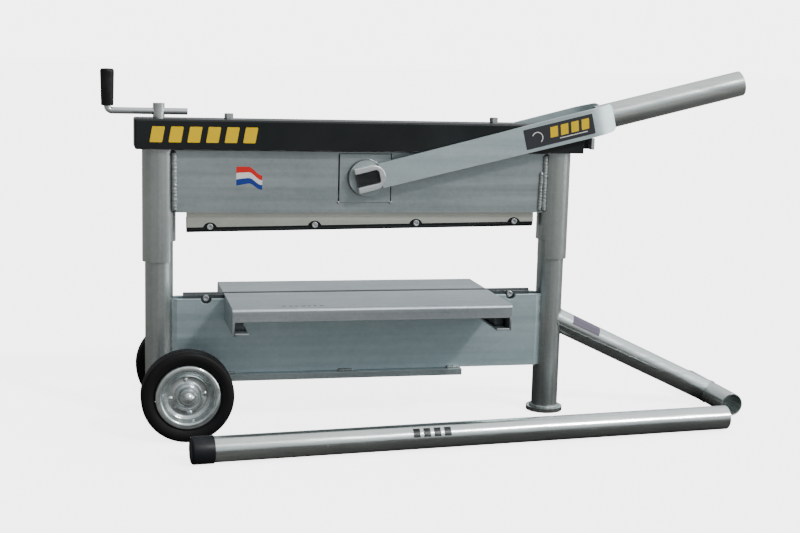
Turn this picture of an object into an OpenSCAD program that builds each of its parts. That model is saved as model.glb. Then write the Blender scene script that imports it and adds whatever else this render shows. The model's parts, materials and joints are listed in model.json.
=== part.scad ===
// Hand-operated block splitter: a lower blade on a wheeled base, and an upper
// blade in a head that rides on two telescopic posts. A chain under the black
// cover turns both height spindles together, and a forked lever turns an
// eccentric that presses the upper blade down.
// Origin: centre of the round foot's underside. X runs along the blades, away
// from the wheels, Y to the back, Z up.

/* [Posts] */
// Distance between the two post axes
post_span = 750; // [740:1:760]
// Outer diameter of the inner posts
post_d = 50.8; // [50:0.1:51]
// Wall of the inner posts
post_wall = 4; // [3:0.5:5]
// Height of the posts' upper ends
post_top = 400; // [396:1:402]
// Height of the left post's lower end
left_post_low = 90; // [86:1:92]
// Outer diameter of the sleeves
sleeve_d = 60.3; // [60:0.1:61]
// Inner diameter of the sleeves
sleeve_bore = 52.3; // [52:0.1:53]
// Height of the sleeves' lower ends
sleeve_low = 303; // [300:1:306]

/* [Lower beam] */
// Height of the lower beam's bottom edge
lower_z = 94.5; // [94:0.1:95]
// Height of the lower beam's plates
lower_h = 140; // [138:1:140]
// Height of the lower blade's edge
blade_edge_z = 243.5; // [243:0.1:244]

/* [Head] */
// Height of the upper beam's bottom edge
upper_z = 393.5; // [393:0.1:394]
// Height of the chain cover's top
cover_top = 561.5; // [561:0.1:563]
// Length of the chain cover
cover_len = 838; // [834:1:840]
// Height of the eccentric's axis
hub_z = 458.5; // [458:0.1:459]

/* [Blades] */
// Length of both blades
blade_len = 660; // [640:1:664]
// Height of the upper blade's edge at mid length
upper_edge_z = 360; // [358:1:361]
// Hang of the upper blade, lower at the wheel end
blade_hang = 0.9; // [0:0.1:1]

/* [Lever] */
// Angle of the lever above horizontal at rest
lever_angle = 14; // [14:1:16]
// Throw of the eccentric
ecc_throw = 9; // [8:0.5:9]
// Reach of the lever from its axis
lever_len = 776; // [760:1:800]
// Outer diameter of the lever's socket tube
socket_d = 49; // [48.5:0.1:49.5]
// Inner diameter of the lever's socket tube
socket_bore = 45; // [44.8:0.1:45.2]

/* [Tables] */
// Width of both tables
table_w = 506; // [480:1:510]
// Depth of the front table's front edge from the blades
table_front = 166; // [150:1:170]
// Depth of the rear table's back edge from the blades
table_back = 123; // [120:1:140]
// Height of both tables
table_z = 242.5; // [242:0.1:243]

/* [Ground parts] */
// Outer diameter of the strut, cross tube and extension tube
tube_d = 44.5; // [44:0.1:44.6]
// Reach of the cross tube from the right post
strut_reach = 354; // [330:1:370]
// Length of the cross tube
cross_len = 200; // [160:1:220]
// Length of the extension tube with its cap
ext_len = 1010; // [900:1:1100]
// Radius of the wheels
wheel_r = 81.5; // [80:0.1:82]
// Width of the tyres
tyre_w = 40; // [38:1:42]

/* [Hidden] */
$fn = 96;
fit = 0.05;
eps = 1;
mid_x = -post_span / 2;
left_x = -post_span;
post_r = post_d / 2;
post_bore_r = post_r - post_wall;
sleeve_r = sleeve_d / 2;
plate_t = 8;
lower_y = 21;
lower_end = 356;
fold_x = 343.5;
fold_y = 13;
upper_y = 22;
upper_end = 26.5;
upper_top = 505.5;
sleeve_top = 508;
notch_top = 340;
notch_half = 23;
foot_r = 35.5;
foot_h = 8;

spindle_r = 8;
spindle_low = 310;
collar_z = 487;
collar_r = 12;
collar_h = 6.5;
bearing_low = 494;
nut_h = 25;
sprocket_z = 518;
sprocket_h = 7;
sprocket_r = 25;
sprocket_teeth = 12;
chain_in = 25.6;
chain_out = 29;

tray_y = 34;
tray_t = 3;
tray_left = -412;
tray_right = 429;
tray_wall_z = 540;
tray_end_z = 516.5;
cover_y = 38;
cover_t = 2.5;
cover_low = 507.5;
screw_x = 250;
cap_screw_r = 8.2;
cap_screw_h = 10;
spacer_r = 6;
rest_w = 6;
rest_low = 516.5;
rest_top = 538.3;
rest_y = 52;

journal_r = 33;
lobe_r = 23;
lobe_angle = -32.5;
journal_y = 36;
bearing_y = 24;
bearing_x = [-48.5, 47];
bearing_z = [413, 501.5];
window_gap = 2.6;
pad_top = hub_z + ecc_throw * sin(lobe_angle) - lobe_r - 0.4;
pad_half = 60;

arm_y = 43;
arm_t = 8;
arm_h0 = 45;
arm_h1 = 53;
arm_bend = 454;
arm_end = 494;
jaw_h = 46;
jaw_slot = 25;
jaw_reach = 22;
tongue_x = [-20, 21];
tongue_t = 10;
jaw_y = 52;
socket_start = 470;

holder_y = 11;
holder_low = 10;
holder_top = 40;
cheek_t = 4;
slot_top = 28;
upper_shift = 4;
upper_bolts = [for (i = [-1.5 : 1 : 1.5]) i * 192.7 + 5];
upper_bolt_z = 11;
upper_notch_r = 13.6;
lower_blade_y = 7.5;
lower_blade_low = 190;
lower_bolts = [-291, 291];
lower_bolt_z = 235;
lower_notch_r = 10;
bolt_r = 4;
head_r = 5.5;
head_h = 8;
key_r = 3;
hex_r = 7.5;
hex_h = 6.5;

spring_x = 200;
spring_top = 499;
return_coil_r = 7.5;
return_wire = 1.5;
table_coil_r = 5.5;
table_wire = 1.2;

table_x = mid_x - 258;
table_t = 4;
table_gap = 8.2;
lip_h = 24;
arm_web = 4;
flange_w = 28;
flange_z = 195;
support_x = 7;
support_w = 16;
support_z = 199.3;
support_h = 14;
support_back = 30;

bar_x = [-265, 194];
bar_y = 36;
bar_h = 12;

strut_z = 188.7;
tube_bore = tube_d - 5.2;
cross_z = tube_d / 2;

axle_x = mid_x - 332;
axle_z = wheel_r;
axle_r = 10;
axle_tube_r = 13;
axle_tube_y = 88;
wheel_y = 125;
hub_r = 15;
hub_half = 22;
rivet_ring = 30;
rivet_turn = 7;

ext_cap_r = 24;
ext_cap_len = 39;
ext_wall = 2.6;
ext_start = [mid_x - 337, -268];
ext_end = [mid_x + 670, -190];

crank_z = 573.5;
crank_r = 6;
crank_reach = 89.8;
crank_tail = 51;
crank_bend = 8;
boss_r = 10.5;
boss_low = 545;
boss_top = 588;
grip_low = 582;
grip_r = 12.4;
grip_top = 647.5;

// ---- shared shapes ----
module tube(outer, inner, h) {
    difference() {
        cylinder(r = outer, h = h);
        translate([0, 0, -eps]) cylinder(r = inner, h = h + 2 * eps);
    }
}

// Cylinder along Y from y0 to y1
module rod_y(r, y0, y1) {
    translate([0, y0, 0]) rotate([-90, 0, 0]) cylinder(r = r, h = y1 - y0);
}

// Plate with an outline drawn in X and Z, between y0 and y1
module plate_xz(y0, y1) {
    translate([0, y1, 0]) rotate([90, 0, 0]) linear_extrude(y1 - y0) children();
}

// Box from its low corner to its high corner
module box(low, high) {
    translate(low) cube(high - low);
}

module rounded_square(w, h, r) {
    square([w - 2 * r, h], center = true);
    square([w, h - 2 * r], center = true);
    for (x = [-1, 1], y = [-1, 1])
        translate([x * (w / 2 - r), y * (h / 2 - r)]) circle(r = r);
}

// Socket-head screw along Y: head in front of y0, shank to y1, hexagon nut behind it
module cross_screw(y0, y1) {
    difference() {
        rod_y(head_r, y0 - head_h, y0);
        translate([0, y0 - head_h / 2, 0]) rotate([90, 0, 0])
            cylinder(r = key_r, h = head_h, $fn = 6);
    }
    rod_y(bolt_r, y0 - fit, y1 + fit);
    translate([0, y1, 0]) rotate([-90, 0, 0]) cylinder(r = hex_r, h = hex_h, $fn = 6);
}

// Coil spring as one solid of revolution, its coils touching
module coil(r, wire, h) {
    turns = floor(h / (wire * 1.9));
    pitch = (h - 2 * wire) / (turns - 1);
    rotate_extrude()
        intersection() {
            union() {
                for (i = [0 : turns - 1]) translate([r, wire + i * pitch]) circle(r = wire, $fn = 24);
                translate([r - wire * 0.35, wire]) square([wire * 0.7, h - 2 * wire]);
            }
            square([r + 2 * wire, h]);
        }
}

module at_posts() {
    for (x = [left_x, 0]) translate([x, 0, 0]) children();
}

// Frame of the lever: its own X runs out along the lever from the eccentric's axis
module on_lever() {
    translate([mid_x, 0, hub_z]) rotate([0, -lever_angle, 0]) children();
}

// Frame of the upper blade: Z = 0 is its edge
module on_blade() {
    translate([mid_x + upper_shift, 0, upper_edge_z]) rotate([0, -blade_hang, 0]) children();
}

// ---- base ----
module left_post() {
    color("#9aa09d") translate([left_x, 0, left_post_low])
        tube(post_r, post_bore_r, post_top - left_post_low);
}

module right_post() {
    color("#9aa09d") translate([0, 0, foot_h]) tube(post_r, post_bore_r, post_top - foot_h);
}

module foot_disc() {
    color("#b4b9b8") cylinder(r = foot_r, h = foot_h);
}

module spindle_nuts() {
    color("#8f8a70") at_posts() translate([0, 0, post_top - nut_h])
        tube(post_bore_r - fit, spindle_r + 0.3, nut_h);
}

// One side plate of the lower beam, its ends folded back to the posts
module lower_plate() {
    difference() {
        translate([mid_x, 0, lower_z]) linear_extrude(lower_h)
            polygon([[-lower_end, -fold_y], [-fold_x, -lower_y], [fold_x, -lower_y], [lower_end, -fold_y]]);
        at_posts() cylinder(r = post_r + fit, h = post_top);
        for (x = lower_bolts) translate([mid_x + x, 0, lower_bolt_z])
            rod_y(lower_notch_r, -lower_y - eps, 0);
    }
}

module lower_front_plate() {
    color("#a7aeb2") lower_plate();
}

module lower_rear_plate() {
    color("#a7aeb2") mirror([0, 1, 0]) lower_plate();
}

module lower_blade() {
    w = lower_blade_y;
    color("#4a5256") difference() {
        translate([mid_x - blade_len / 2 - 2, 0, 0]) rotate([90, 0, 90]) linear_extrude(blade_len + 4)
            polygon([[-w, lower_blade_low], [w, lower_blade_low], [w, blade_edge_z - 4],
                     [3, blade_edge_z], [-3, blade_edge_z], [-w, blade_edge_z - 4]]);
        for (x = lower_bolts) translate([mid_x + x, 0, lower_bolt_z])
            rod_y(bolt_r + fit, -w - eps, w + eps);
    }
}

module lower_blade_bolts() {
    color("#c2c6c6") for (x = lower_bolts) translate([mid_x + x, 0, lower_bolt_z])
        cross_screw(-lower_blade_y - fit, lower_blade_y + fit);
}

module base_bar() {
    color("#a7aeb2") box([mid_x + bar_x[0], -bar_y, lower_z - bar_h - fit],
                         [mid_x + bar_x[1], bar_y, lower_z - fit]);
}

module cross_tube() {
    color("#a9afb0") translate([strut_reach, 0, cross_z]) difference() {
        rod_y(tube_d / 2, -cross_len / 2, cross_len / 2);
        rod_y(tube_bore / 2, -cross_len / 2 - eps, cross_len / 2 + eps);
    }
}

// Strut from the right post down to the cross tube, coped at both ends
module strut() {
    drop = strut_z - cross_z;
    len = sqrt(strut_reach * strut_reach + drop * drop);
    color("#a9afb0") difference() {
        translate([0, 0, strut_z]) rotate([0, 90 + atan(drop / strut_reach), 0])
            tube(tube_d / 2, tube_bore / 2, len);
        cylinder(r = post_r + fit, h = post_top);
        translate([strut_reach, 0, cross_z]) rod_y(tube_d / 2 + fit, -tube_d, tube_d);
    }
}

module axle_tube() {
    color("#8f9596") translate([axle_x, 0, axle_z]) difference() {
        rod_y(axle_tube_r - fit, -axle_tube_y, axle_tube_y);
        rod_y(axle_r + fit, -axle_tube_y - eps, axle_tube_y + eps);
    }
}

module axle_rod() {
    color("#b9bdbd") translate([axle_x, 0, axle_z])
        rod_y(axle_r, -wheel_y - hub_half - 2, wheel_y + hub_half + 2);
}

module axle_caps() {
    rim_r = 13;
    rim_h = 2.5;
    dome_r = 11.5;
    dome_h = 9;
    color("#c8cccc") translate([axle_x, 0, axle_z]) for (s = [-1, 1]) scale([1, s, 1])
        translate([0, wheel_y + hub_half + 0.6, 0]) rotate([-90, 0, 0]) difference() {
            union() {
                cylinder(r = rim_r, h = rim_h);
                intersection() {
                    translate([0, 0, -5]) sphere(r = rim_r);
                    cylinder(r = dome_r, h = dome_h);
                }
            }
            translate([0, 0, -eps]) cylinder(r = axle_r + fit, h = eps + 1.5);
        }
}

// Inner bars that carry the tables' springs
module support_arms() {
    left = table_x + support_x;
    right = table_x + table_w - support_x - support_w;
    color("#2a2d2f") for (x = [left, right]) {
        box([x, -table_front + support_back, support_z],
            [x + support_w, -lower_y - fit, support_z + support_h]);
        box([x, lower_y + fit, support_z],
            [x + support_w, table_back - support_back, support_z + support_h]);
    }
}

module table_springs(places) {
    low = support_z + support_h + 0.2;
    for (x = [table_x + support_x, table_x + table_w - support_x - support_w], y = places)
        translate([x + support_w / 2, y, low]) coil(table_coil_r, table_wire, table_z - table_t - low - 0.2);
}

module front_springs() {
    color("#7c8284") table_springs([-120, -50]);
}

module rear_springs() {
    color("#7c8284") table_springs([42, 80]);
}

// A sprung table: top, outer lip, and a C-shaped arm at each end.
// depth is the distance of its outer edge from the blades.
module table(depth) {
    right = table_x + table_w;
    under = table_z - table_t;
    box([table_x, -depth, under], [right, -table_gap, table_z]);
    box([table_x, -depth, table_z - lip_h], [right, -depth + table_t, table_z]);
    for (x = [table_x, right - arm_web])
        box([x, -depth, flange_z], [x + arm_web, -lower_y - 1, table_z]);
    for (x = [table_x, right - flange_w])
        box([x, -depth, flange_z], [x + flange_w, -lower_y - 1, flange_z + arm_web]);
}

module front_table() {
    color("#aeb3b5") table(table_front);
}

module rear_table() {
    color("#aeb3b5") mirror([0, 1, 0]) table(table_back);
}

// ---- wheels: parts drawn around their own axis, then stood up at side s ----
module at_wheel(s) {
    translate([axle_x, s * wheel_y, axle_z]) rotate([s > 0 ? -90 : 90, 0, 0]) children();
}

module tyre() {
    base_r = 48;
    wall_r = 57.2;
    shoulder_r = 6.5;
    base_half = 13.5;
    rotate_extrude() union() {
        translate([(wall_r + wheel_r) / 2, 0]) rounded_square(wheel_r - wall_r, tyre_w, shoulder_r);
        translate([base_r, -base_half]) square([wall_r - base_r + 6, 2 * base_half]);
    }
}

// One pressed half of the rim
module rim_half() {
    rotate_extrude() polygon([
        [hub_r + 0.1, 2], [38, 2], [45, 7], [46.6, 15.4], [56.6, 16.8], [56.6, 19],
        [44.6, 17.4], [42.8, 8.6], [37, 4.4], [hub_r + 0.1, 4.4]]);
}

module rim() {
    rim_half();
    mirror([0, 0, 1]) rim_half();
}

module rivets() {
    for (a = [0 : 90 : 270], s = [-1, 1]) rotate([0, 0, a + rivet_turn])
        translate([rivet_ring, 0, 0]) scale([1, 1, s]) translate([0, 0, 4.4 + fit])
            intersection() {
                translate([0, 0, -2.5]) sphere(r = 5.5);
                cylinder(r = 5, h = 4);
            }
}

module hub() {
    translate([0, 0, -hub_half]) tube(hub_r, axle_r + 0.1, 2 * hub_half);
}

module front_tyre() { color("#1d1e20") at_wheel(-1) tyre(); }
module front_rim() { color("#b7bcbb") at_wheel(-1) rim(); }
module front_rivets() { color("#d3d7d6") at_wheel(-1) rivets(); }
module front_hub() { color("#9da2a2") at_wheel(-1) hub(); }
module rear_tyre() { color("#1d1e20") at_wheel(1) tyre(); }
module rear_rim() { color("#b7bcbb") at_wheel(1) rim(); }
module rear_rivets() { color("#d3d7d6") at_wheel(1) rivets(); }
module rear_hub() { color("#9da2a2") at_wheel(1) hub(); }

// ---- head ----
// Sleeve with a slot on the side that faces along turn, so it can pass the lower beam
module sleeve(turn) {
    difference() {
        translate([0, 0, sleeve_low]) tube(sleeve_r, sleeve_bore / 2, sleeve_top - sleeve_low);
        rotate([0, 0, turn]) box([0, -notch_half, sleeve_low - eps], [sleeve_d, notch_half, notch_top]);
    }
}

module left_sleeve() {
    color("#9aa09d") translate([left_x, 0, 0]) sleeve(0);
}

module right_sleeve() {
    color("#9aa09d") sleeve(180);
}

module upper_plate() {
    w = window_gap;
    difference() {
        box([left_x + upper_end, -upper_y, upper_z], [-upper_end, -upper_y + plate_t, upper_top]);
        at_posts() cylinder(r = sleeve_r + fit, h = sleeve_top);
        box([mid_x + bearing_x[0] - w, -upper_y - eps, bearing_z[0] - 0.5],
            [mid_x + bearing_x[1] + w, 0, bearing_z[1] + w]);
    }
}

module upper_front_plate() {
    color("#8a9193") upper_plate();
}

module upper_rear_plate() {
    color("#8a9193") mirror([0, 1, 0]) upper_plate();
}

module top_plate() {
    y = upper_y - plate_t - fit;
    color("#8a9193") difference() {
        box([left_x, -y, spring_top], [0, y, upper_top]);
        at_posts() cylinder(r = sleeve_r + fit, h = sleeve_top);
    }
}

module bearing() {
    color("#9ba1a2") difference() {
        box([mid_x + bearing_x[0], -bearing_y, bearing_z[0]],
            [mid_x + bearing_x[1], -upper_y + plate_t, bearing_z[1]]);
        translate([mid_x, 0, hub_z]) rod_y(journal_r + 0.1, -bearing_y - eps, 0);
    }
}

module front_bearing() {
    bearing();
}

module rear_bearing() {
    mirror([0, 1, 0]) bearing();
}

module spindle_bearings() {
    color("#8f8a70") at_posts() translate([0, 0, bearing_low])
        tube(sleeve_bore / 2 - fit, spindle_r + 0.1, sleeve_top - bearing_low);
}

module chain_tray() {
    x0 = mid_x + tray_left;
    x1 = mid_x + tray_right;
    color("#222427") difference() {
        union() {
            box([x0, -tray_y, sleeve_top], [x1, tray_y, sleeve_top + tray_t]);
            for (y = [-tray_y, tray_y - tray_t])
                box([x0, y, sleeve_top], [x1, y + tray_t, tray_wall_z]);
        }
        at_posts() cylinder(r = spindle_r + 1, h = cover_top);
        box([mid_x + cover_len / 2 + 1, -cover_y, cover_low], [x1 + eps, cover_y, tray_end_z]);
    }
}

module chain_cover() {
    half = cover_len / 2;
    color("#1c1d20") difference() {
        box([mid_x - half, -cover_y, cover_low], [mid_x + half, cover_y, cover_top]);
        box([mid_x - half + cover_t, -cover_y + cover_t, cover_low - eps],
            [mid_x + half + eps, cover_y - cover_t, cover_top - cover_t]);
        translate([left_x, 0, cover_low]) cylinder(r = boss_r + 1.5, h = cover_top);
        for (x = [-screw_x, screw_x]) translate([mid_x + x, 0, cover_low])
            cylinder(r = bolt_r + fit, h = cover_top);
    }
}

module cover_screws() {
    low = sleeve_top + tray_t + fit;
    color("#b9bdbd") for (x = [-screw_x, screw_x]) translate([mid_x + x, 0, 0]) {
        translate([0, 0, low]) cylinder(r = spacer_r, h = cover_top - cover_t - fit - low);
        translate([0, 0, low]) cylinder(r = bolt_r, h = cover_top + eps - low);
        translate([0, 0, cover_top + fit]) cylinder(r = cap_screw_r, h = cap_screw_h, $fn = 6);
    }
}

module lever_rest() {
    x = mid_x + tray_right + fit;
    color("#b9bdbd") box([x, -rest_y, rest_low], [x + rest_w, rest_y, rest_top]);
}

module chain_loop(r) {
    for (x = [left_x, 0]) translate([x, 0]) circle(r = r);
    translate([left_x, -r]) square([post_span, 2 * r]);
}

module drive_chain() {
    color("#55585a") translate([0, 0, sprocket_z + 0.5]) linear_extrude(sprocket_h - 1) difference() {
        chain_loop(chain_out);
        chain_loop(chain_in);
    }
}

// ---- spindles and crank ----
module spindle(top) {
    translate([0, 0, spindle_low]) cylinder(r = spindle_r, h = top - spindle_low);
    translate([0, 0, collar_z]) cylinder(r = collar_r, h = collar_h);
}

module sprocket() {
    tooth_gap_r = 3.2;
    neck_r = 14;
    neck_h = 5;
    difference() {
        union() {
            translate([0, 0, sprocket_z]) cylinder(r = sprocket_r, h = sprocket_h);
            translate([0, 0, sprocket_z - neck_h]) cylinder(r = neck_r, h = neck_h);
        }
        translate([0, 0, sprocket_z - neck_h - eps])
            cylinder(r = spindle_r + fit, h = neck_h + sprocket_h + 2 * eps);
        for (i = [0 : sprocket_teeth - 1]) rotate([0, 0, i * 360 / sprocket_teeth])
            translate([sprocket_r + 0.8, 0, sprocket_z - eps])
                cylinder(r = tooth_gap_r, h = sprocket_h + 2 * eps);
    }
}

module left_spindle() {
    color("#7d8486") translate([left_x, 0, 0]) spindle(boss_low - fit);
}

module left_sprocket() {
    color("#6b7072") translate([left_x, 0, 0]) sprocket();
}

module right_spindle() {
    color("#7d8486") spindle(sprocket_z + sprocket_h + 6);
}

module right_sprocket() {
    color("#6b7072") sprocket();
}

module crank_boss() {
    color("#8f9698") translate([left_x, 0, 0]) difference() {
        translate([0, 0, boss_low]) cylinder(r = boss_r, h = boss_top - boss_low);
        translate([-boss_r - eps, 0, crank_z]) rotate([0, 90, 0])
            cylinder(r = crank_r + fit, h = 2 * boss_r + 2 * eps);
    }
}

module crank_rod() {
    elbow = left_x - crank_reach + crank_bend;
    color("#b4b9bb") union() {
        translate([elbow, 0, crank_z]) rotate([0, 90, 0])
            cylinder(r = crank_r, h = left_x + crank_tail - elbow);
        translate([elbow, 0, crank_z + crank_bend]) rotate([90, 0, 0]) rotate([0, 0, 180])
            rotate_extrude(angle = 90) translate([crank_bend, 0]) circle(r = crank_r);
        translate([left_x - crank_reach, 0, crank_z + crank_bend])
            cylinder(r = crank_r, h = grip_top - 8 - crank_z - crank_bend);
    }
}

module crank_grip() {
    color("#17181a") translate([left_x - crank_reach, 0, 0]) rotate_extrude() difference() {
        polygon([[0, grip_low], [grip_r - 2.1, grip_low], [grip_r - 1.4, grip_low + 2],
                 [grip_r, grip_top - 4], [grip_r - 2, grip_top - 0.6], [0, grip_top]]);
        translate([0, grip_low - eps]) square([crank_r + 0.1, grip_top - 6 - grip_low]);
    }
}

// ---- upper blade ----
module blade_holder() {
    half = blade_len / 2 - 1;
    color("#b5b9b4") union() {
        on_blade() difference() {
            box([-half, -holder_y, holder_low], [half, holder_y, holder_top]);
            box([-half - eps, -holder_y + cheek_t, 0], [half + eps, holder_y - cheek_t, slot_top]);
            for (x = upper_bolts) translate([x - upper_shift, 0, upper_bolt_z - 6])
                rod_y(upper_notch_r, -holder_y - eps, holder_y + eps);
        }
        box([mid_x - pad_half, -holder_y, upper_edge_z + slot_top + 4],
            [mid_x + pad_half, holder_y, pad_top]);
    }
}

module upper_blade() {
    half = blade_len / 2;
    y = holder_y - cheek_t - fit;
    color("#17191b") on_blade() difference() {
        rotate([90, 0, 90]) translate([0, 0, -half]) linear_extrude(2 * half)
            polygon([[-2.5, 0], [2.5, 0], [y, 4.5], [y, slot_top - fit], [-y, slot_top - fit], [-y, 4.5]]);
        for (x = upper_bolts) translate([x - upper_shift, 0, upper_bolt_z])
            rod_y(bolt_r + fit, -y - eps, y + eps);
    }
}

module upper_blade_bolts() {
    y = holder_y - cheek_t;
    color("#8f9496") on_blade() for (x = upper_bolts) translate([x - upper_shift, 0, upper_bolt_z])
        cross_screw(-y, y);
}

module return_springs() {
    color("#7c8284") for (x = [-spring_x, spring_x]) {
        low = upper_edge_z + holder_top + (x - upper_shift) * tan(blade_hang) + 0.5;
        translate([mid_x + x, 0, low]) coil(return_coil_r, return_wire, spring_top - low - 0.1);
    }
}

// ---- lever ----
module eccentric_shaft() {
    inner = upper_y - plate_t + 0.2;
    color("#8d9394") translate([mid_x, 0, hub_z]) {
        rod_y(journal_r, -journal_y, -inner);
        rotate([0, -lobe_angle, 0]) translate([ecc_throw, 0, 0]) rod_y(lobe_r, -inner - fit, inner + fit);
        rod_y(journal_r, inner, journal_y);
    }
}

module drive_tongues() {
    color("#1b1d1f") on_lever() for (s = [-1, 1]) scale([1, s, 1])
        box([tongue_x[0], journal_y + fit, -jaw_slot / 2 + 0.2],
            [tongue_x[1], journal_y + tongue_t, jaw_slot / 2 - 0.2]);
}

// The jaws that grip the shaft's tongues, open away from the lever
module fork_jaws() {
    color("#a9afb1") on_lever() for (s = [-1, 1]) scale([1, s, 1])
        plate_xz(journal_y + fit, jaw_y) difference() {
            intersection() {
                circle(r = journal_r);
                translate([-jaw_reach, -jaw_h / 2]) square([2 * journal_r, jaw_h]);
            }
            translate([-journal_r, -jaw_slot / 2]) square([journal_r + jaw_reach, jaw_slot]);
        }
}

// One fork arm: a flat bar, turned in to the socket tube at its end
module arm() {
    in_y = socket_d / 2 + 0.3;
    mid_y = arm_y - 6;
    on_lever() difference() {
        intersection() {
            translate([0, 0, -arm_h1 / 2]) linear_extrude(arm_h1)
                polygon([[0, -arm_y], [arm_bend, -arm_y], [arm_bend + 20, -mid_y], [arm_end - 4, -in_y],
                         [arm_end, -in_y - arm_t + 1], [arm_bend + 24, -mid_y - arm_t],
                         [arm_bend + 2, -arm_y - arm_t], [0, -arm_y - arm_t]]);
            plate_xz(-arm_y - arm_t - eps, 0)
                polygon([[0, -arm_h0 / 2], [arm_bend, -arm_h1 / 2], [arm_end, -arm_h1 / 2],
                         [arm_end, arm_h1 / 2], [arm_bend, arm_h1 / 2], [0, arm_h0 / 2]]);
        }
        rod_y(journal_r + fit, -jaw_y - eps, 0);
    }
}

module front_arm() {
    color("#a9b0b4") arm();
}

module rear_arm() {
    color("#a9b0b4") mirror([0, 1, 0]) arm();
}

module socket_tube() {
    color("#a9afb0") on_lever() translate([socket_start, 0, 0]) rotate([0, 90, 0])
        tube(socket_d / 2, socket_bore / 2, lever_len - socket_start);
}

// ---- loose extension tube ----
module on_extension() {
    run = ext_end - ext_start;
    translate([ext_start[0], ext_start[1], ext_cap_r]) rotate([0, 90, atan2(run[1], run[0])]) children();
}

module extension_tube() {
    color("#bcc1bf") on_extension() translate([0, 0, 4])
        tube(tube_d / 2, tube_d / 2 - ext_wall, ext_len - 4);
}

module extension_cap() {
    color("#1d1e20") on_extension() difference() {
        cylinder(r = ext_cap_r, h = ext_cap_len);
        translate([0, 0, 4 - fit]) cylinder(r = tube_d / 2 + fit, h = ext_cap_len);
    }
}

left_post();
right_post();
foot_disc();
spindle_nuts();
lower_front_plate();
lower_rear_plate();
lower_blade();
lower_blade_bolts();
base_bar();
strut();
cross_tube();
axle_tube();
axle_rod();
axle_caps();
support_arms();
front_springs();
rear_springs();
front_table();
rear_table();
front_tyre();
front_rim();
front_rivets();
front_hub();
rear_tyre();
rear_rim();
rear_rivets();
rear_hub();
left_sleeve();
right_sleeve();
upper_front_plate();
upper_rear_plate();
top_plate();
front_bearing();
rear_bearing();
spindle_bearings();
chain_tray();
chain_cover();
cover_screws();
lever_rest();
drive_chain();
left_spindle();
left_sprocket();
crank_boss();
crank_rod();
crank_grip();
right_spindle();
right_sprocket();
blade_holder();
upper_blade();
upper_blade_bolts();
return_springs();
eccentric_shaft();
drive_tongues();
fork_jaws();
front_arm();
rear_arm();
socket_tube();
extension_tube();
extension_cap();
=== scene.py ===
import json
import math
import random

import bmesh
import bpy
from mathutils import Matrix, Vector


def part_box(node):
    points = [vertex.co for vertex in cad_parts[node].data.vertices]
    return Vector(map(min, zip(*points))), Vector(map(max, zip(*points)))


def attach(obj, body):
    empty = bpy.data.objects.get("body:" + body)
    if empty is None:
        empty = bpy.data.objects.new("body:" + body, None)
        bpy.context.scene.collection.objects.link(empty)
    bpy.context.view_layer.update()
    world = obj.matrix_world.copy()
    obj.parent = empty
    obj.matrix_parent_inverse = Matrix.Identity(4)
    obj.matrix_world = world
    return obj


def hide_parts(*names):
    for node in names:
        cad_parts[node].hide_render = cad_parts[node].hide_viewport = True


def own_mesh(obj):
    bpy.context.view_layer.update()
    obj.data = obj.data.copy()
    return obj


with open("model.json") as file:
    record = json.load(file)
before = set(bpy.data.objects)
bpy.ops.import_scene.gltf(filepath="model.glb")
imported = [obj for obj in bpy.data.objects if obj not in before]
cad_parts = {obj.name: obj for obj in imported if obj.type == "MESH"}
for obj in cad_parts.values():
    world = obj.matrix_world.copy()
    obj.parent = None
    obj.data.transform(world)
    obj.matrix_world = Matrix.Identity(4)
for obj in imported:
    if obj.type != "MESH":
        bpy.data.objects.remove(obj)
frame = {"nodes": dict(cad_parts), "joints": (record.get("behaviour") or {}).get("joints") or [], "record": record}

random.seed(7)
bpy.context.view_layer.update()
MM = 0.001
JOINTS = {joint["name"]: joint for joint in frame["joints"]}
MOUNTS = {mount["name"]: mount for mount in frame["record"]["mounts"]}
UP = Vector((0, 0, 1))
TINY = 1e-6


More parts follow.
